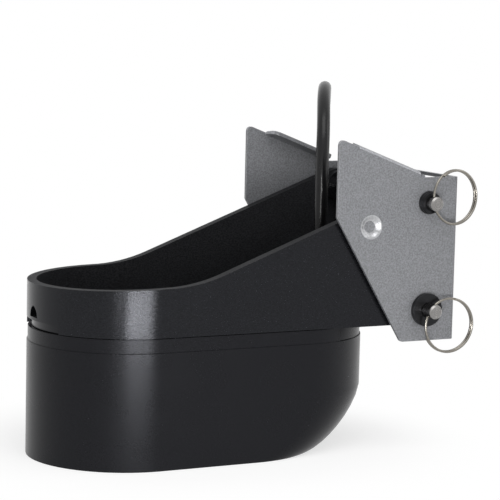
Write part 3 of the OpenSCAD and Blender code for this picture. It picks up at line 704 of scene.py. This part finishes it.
class TRANSDUCER_OT_cable(bpy.types.Operator):
    """Lays the cable from the gland over to its coil and on to the plug, with the coil's ties"""

    bl_idname = "transducer.cable"
    bl_label = "Cable"

    def execute(self, context):
        diameter = sizes().cable_diameter
        line = cable_line(diameter)
        cable = round_line("cable", line, diameter)
        give(cable, jacket("cable_jacket", colours().cable, 0.25))
        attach(cable, "transducer")
        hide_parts("cable_lead", "cable_coil", "cable_tail")
        strap = webbing("tie_webbing", slot_colour("tie_webbing"))
        ties = dress("coil_ties", strap, TIE_ROUND, "transducer", "tie_webbing")
        plug = dress_plug()
        return {"FINISHED"}


# Body, by the solids' rim, arms and trough

RIM_Z = -12.3 * MM
ARM_START_X = -175.6 * MM
ARM_EASE = 40 * MM
ARM_IN, WALL_IN = 46.3 * MM, 47.3 * MM
TRAIL_X, LEAD_X = -177.1 * MM, -88.2 * MM
ON_PLANE = 0.05 * MM
CUT_DISTANCE, CLOSE_DISTANCE = 0.001 * MM, 0.01 * MM
START_SLACK = 0.01
RIM_DEPTH = 2 * MM
RIM_SEGMENTS = 4
# How far up or inward the normal points on the rim's top, on its rounding, which is painted lighter as a
# highlight, and on the trough's floor and its wall, which are painted lighter as fill light
RIM_TOP, RIM_HIGHLIGHT_UP, TROUGH_FLOOR, TROUGH_WALL = 0.8, 0.3, 0.75, 0.6


def on_arm(vert):
    """True on the plane of an arm's inner face."""
    return abs(abs(vert.co.y) - ARM_IN) < ON_PLANE


def ease_arm_starts(bm):
    """Lets the arms' inner faces run out flush with the trough's wall at their trailing end."""
    inner = [f for f in bm.faces if all(on_arm(v) for v in f.verts)]
    geom = {part for face in inner for part in (face, *face.edges, *face.verts)}
    bmesh.ops.bisect_plane(
        bm, geom=list(geom), dist=CUT_DISTANCE, plane_co=(ARM_START_X + ARM_EASE, 0, 0), plane_no=(1, 0, 0)
    )
    for vert in bm.verts:
        share = (vert.co.x - ARM_START_X) / ARM_EASE
        if on_arm(vert) and -START_SLACK < share < 1:
            vert.co.y = math.copysign(WALL_IN + (ARM_IN - WALL_IN) * share, vert.co.y)
    bmesh.ops.remove_doubles(bm, verts=bm.verts, dist=CLOSE_DISTANCE)
    bm.normal_update()


def faces_inward(face):
    """True on the walls of the trough between the arms."""
    middle = face.calc_center_median()
    axis_x = min(max(middle.x, TRAIL_X), LEAD_X)
    inward = Vector((axis_x - middle.x, -middle.y, 0)).normalized()
    return face.normal.dot(inward) > TROUGH_WALL


def on_rim(edge):
    """True on the top edges of the rim and the arms."""
    high = min(vert.co.z for vert in edge.verts) > RIM_Z
    return high and any(face.normal.z > RIM_TOP for face in edge.link_faces)


def shell_finish(face, is_rounded):
    """0 for the outside, 1 for the trough and the other upward flats, painted lighter as fill light for the
    trough's shade, and 2 for the rim's rounding, painted lighter as a highlight.
    """
    if is_rounded and face.normal.z > RIM_HIGHLIGHT_UP and face.calc_center_median().z > RIM_Z - RIM_DEPTH:
        return 2
    if not is_rounded and (face.normal.z > TROUGH_FLOOR or faces_inward(face)):
        return 1
    return 0


class TRANSDUCER_OT_shell(bpy.types.Operator):
    """Rounds and finishes the upper shell with its rim and arms"""

    bl_idname = "transducer.shell"
    bl_label = "Upper shell"

    def execute(self, context):
        bm = solid_of("upper_shell")
        ease_arm_starts(bm)
        rim = [edge for edge in sharp_edges(bm) if on_rim(edge)]
        round_edges(bm, rim, sizes().rim_round, RIM_SEGMENTS)
        round_edges(bm, sharp_edges(bm), sizes().mould_round)
        share_out(bm, shell_finish)
        plastic = moulded_plastic("shell_plastic", colours().shell, 0.2, depth=0.08 * MM, specular=0.22)
        # The trough and the upward flats, the rim's flat top among them, in a lighter matte plastic: painted
        # fill light
        trough = moulded_plastic("trough_fill_light_plastic", colours().trough, 0.6, specular=0.1)
        # The rim's rounding in a lighter, glossier plastic: a painted highlight
        edge = moulded_plastic("rim_highlight_plastic", tint(colours().shell, 1.6), 0.33, specular=0.9)
        dressed(bm, "upper_shell", plastic, "transducer", "shell_plastic", trough, edge)
        return {"FINISHED"}


class TRANSDUCER_OT_housing(bpy.types.Operator):
    """Finishes the lower housing"""

    bl_idname = "transducer.housing"
    bl_label = "Lower housing"

    def execute(self, context):
        plastic = moulded_plastic("housing_plastic", colours().housing, 0.27, grain=2400.0, specular=0.19)
        dress("lower_housing", plastic, sizes().mould_round, "transducer", "housing_plastic")
        return {"FINISHED"}


# Bracket, by the solids' dimples and relief slits

DIMPLE_PLACE = (-55.2 * MM, 18.9 * MM)
DIMPLE_RADIUS = 7.2 * MM
# How far sideways the normal points at most on a dimple's slope, which gets a painted highlight, and how far
# up at least on a flange's top, which is painted lighter as light from above
DIMPLE_HIGHLIGHT_SLOPE, PAINTED_TOP_LIGHT_UP = 0.95, 0.3


def pressed(face):
    """True on the dimples' slopes, which get a painted highlight lighter than the sheet."""
    middle = face.calc_center_median()
    across = math.hypot(middle.x - DIMPLE_PLACE[0], middle.z - DIMPLE_PLACE[1])
    return across < DIMPLE_RADIUS and abs(face.normal.y) < DIMPLE_HIGHLIGHT_SLOPE


RELIEF_PLACES = ((-64.7 * MM, 61.5 * MM), (-24.75 * MM, 46.15 * MM))
RELIEF_REACH = 1.0 * MM


def in_relief(place):
    """True at the foot of the narrow slits that end the flanges, whose corners stay sharp."""
    return any(math.hypot(place.x - x, place.z - z) < RELIEF_REACH for x, z in RELIEF_PLACES)


def bracket_finish(face, is_rounded):
    """0 for the sheet's faces, 1 for its rounded edges and the dimples' slopes with a painted highlight, and
    2 for the flanges' tops, painted lighter as light from above.
    """
    if is_rounded or pressed(face):
        return 1
    return 2 if face.normal.z > PAINTED_TOP_LIGHT_UP else 0


class TRANSDUCER_OT_bracket(bpy.types.Operator):
    """Rounds and finishes the folded bracket"""

    bl_idname = "transducer.bracket"
    bl_label = "Bracket"

    def execute(self, context):
        bm = solid_of("bracket")
        edges = [e for e in sharp_edges(bm) if not any(in_relief(v.co) for v in e.verts)]
        round_edges(bm, edges, sizes().sheet_round)
        share_out(bm, bracket_finish)
        steel = tumbled_steel("bracket_steel", colours().steel)
        # The rounded edges and the dimples' slopes get a painted highlight
        edge = painted_edge_highlight("bracket_edge_highlight", colours().edge)
        # Painted top light: the upward faces in steel 1.8 times lighter than the sheet
        painted_top_light = tumbled_steel("bracket_painted_top_light", tint(colours().steel, 1.8))
        dressed(bm, "bracket", steel, "bracket", "bracket_steel", edge, painted_top_light)
        return {"FINISHED"}


# Pins and rings

BUSHING_SEGMENTS = 3


class TRANSDUCER_OT_pins(bpy.types.Operator):
    """Finishes the pins and their bushings"""

    bl_idname = "transducer.pins"
    bl_label = "Pins and bushings"

    def execute(self, context):
        plastic = moulded_plastic("bushing_plastic", colours().bushing, 0.3, grain=900.0, depth=0.01 * MM)
        for pin in ("hinge", "lock"):
            low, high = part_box(pin + "_pin")
            middle = (low + high) / 2
            steel = lathe_steel(pin + "_pin_steel", colours().pin, (middle.x, middle.z))
            dress(pin + "_pin", steel, sizes().turned_round, "bracket", "pin_steel")
            for side in ("near", "far"):
                bushing = f"{pin}_bushing_{side}"
                dress(bushing, plastic, sizes().turned_round, "bracket", "bushing_plastic", BUSHING_SEGMENTS)
        return {"FINISHED"}


PIN_RADIUS = 4 * MM
# Each ring's turn about its pin and its swing in the cross hole, and the wire's whole wrap, in degrees
RING_TURNS = {"hinge_ring": (-12, 8), "lock_ring": (36, 0)}
RING_WRAP = 590
RING_STEPS = 118
RING_LAY = 0.12 * MM


def ring_line(node, turn, swing):
    """The sprung wire: single through its pin, doubled on the far side, turned with its pin."""
    joint = next(j for j in frame["record"]["behaviour"]["joints"] if j["child"] == node)
    radius = (sizes().ring_outside - sizes().ring_wire) / 2
    sag = radius - math.sqrt(radius ** 2 - PIN_RADIUS ** 2)
    place = Matrix.Translation(joint["pos_m"]) @ Matrix.Rotation(math.radians(turn), 4, "Y")
    place = place @ Matrix.Rotation(math.radians(swing), 4, "Z")
    line = []
    for step in range(RING_STEPS + 1):
        round_it = RING_WRAP * (step / RING_STEPS - 0.5)
        angle = math.radians(round_it)
        lift = (sizes().ring_wire + RING_LAY) * round_it / 360
        out = radius * (1 - math.cos(angle)) - sag / 2
        line.append(place @ Vector((out, lift, radius * math.sin(angle))))
    return line


class TRANSDUCER_OT_rings(bpy.types.Operator):
    """Winds the sprung cotter rings"""

    bl_idname = "transducer.rings"
    bl_label = "Cotter rings"

    def execute(self, context):
        wire = drawn_wire("ring_wire", colours().wire)
        for node, (turn, swing) in RING_TURNS.items():
            ring = round_line(node + "_wire", ring_line(node, turn, swing), sizes().ring_wire)
            give(ring, wire)
            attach(ring, node)
            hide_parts(node)
        return {"FINISHED"}


# Fittings and sealed pieces


class TRANSDUCER_OT_fittings(bpy.types.Operator):
    """Finishes the gland, the screws and the seal"""

    bl_idname = "transducer.fittings"
    bl_label = "Gland, screws and seal"

    def execute(self, context):
        rubber = jacket("seal_rubber", slot_colour("seal_rubber"), 0.55)
        steel = turned_steel("screw_steel", slot_colour("screw_steel"), (400, 400, 400), 0.3)
        dress("cable_gland", rubber, sizes().turned_round, "transducer", "seal_rubber")
        dress("shell_screws", steel, sizes().turned_round, "transducer", "screw_steel")
        finish_nodes(rubber, "housing_seal")
        return {"FINISHED"}


# Slot, roughness, scale of the speckle, metallic share and nodes
INNER_FINISHES = [
    ("potting_resin", 0.3, 120.0, 0.0, ("potting",)),
    ("ceramic", 0.6, 900.0, 0.0, ("low_ceramic", "high_ceramic")),
    ("foam", 0.85, 500.0, 0.0, ("low_foam", "high_foam")),
    ("board", 0.45, 300.0, 0.0, ("tuning_board",)),
    ("copper_winding", 0.35, 800.0, 1.0, ("tuning_coil",)),
]


class TRANSDUCER_OT_inside(bpy.types.Operator):
    """Finishes the sealed pieces inside the housing"""

    bl_idname = "transducer.inside"
    bl_label = "Sealed pieces"

    def execute(self, context):
        for slot, rough, scale, metallic, nodes in INNER_FINISHES:
            finish_nodes(inner_material(slot, slot_colour(slot), rough, scale, metallic), *nodes)
        finish_nodes(turned_steel("probe_steel", colours().pin, (300, 300, 2000)), "thermistor")
        return {"FINISHED"}


# Panel and registration

OPERATORS = (
    TRANSDUCER_OT_stage,
    TRANSDUCER_OT_cable,
    TRANSDUCER_OT_shell,
    TRANSDUCER_OT_housing,
    TRANSDUCER_OT_bracket,
    TRANSDUCER_OT_pins,
    TRANSDUCER_OT_rings,
    TRANSDUCER_OT_fittings,
    TRANSDUCER_OT_inside,
)


class TRANSDUCER_PT_pieces(bpy.types.Panel):
    """Lists the transducer's pieces in the sidebar"""

    bl_idname = "TRANSDUCER_PT_pieces"
    bl_label = "Transducer"
    bl_space_type = "VIEW_3D"
    bl_region_type = "UI"
    bl_category = "Transducer"

    def draw(self, context):
        for group in (context.scene.transducer_sizes, context.scene.transducer_colours):
            for name in group.bl_rna.properties.keys():
                if name not in ("rna_type", "name"):
                    self.layout.prop(group, name)
        for operator in OPERATORS:
            self.layout.operator(operator.bl_idname)


CLASSES = (TransducerSizes, TransducerColours) + OPERATORS + (TRANSDUCER_PT_pieces,)


def register():
    for cls in CLASSES:
        bpy.utils.register_class(cls)
    bpy.types.Scene.transducer_sizes = bpy.props.PointerProperty(type=TransducerSizes)
    bpy.types.Scene.transducer_colours = bpy.props.PointerProperty(type=TransducerColours)


def unregister():
    del bpy.types.Scene.transducer_colours
    del bpy.types.Scene.transducer_sizes
    for cls in reversed(CLASSES):
        bpy.utils.unregister_class(cls)


def main():
    register()
    for operator in OPERATORS:
        area, name = operator.bl_idname.split(".")
        getattr(getattr(bpy.ops, area), name)()


if __name__ == "__main__":
    main()
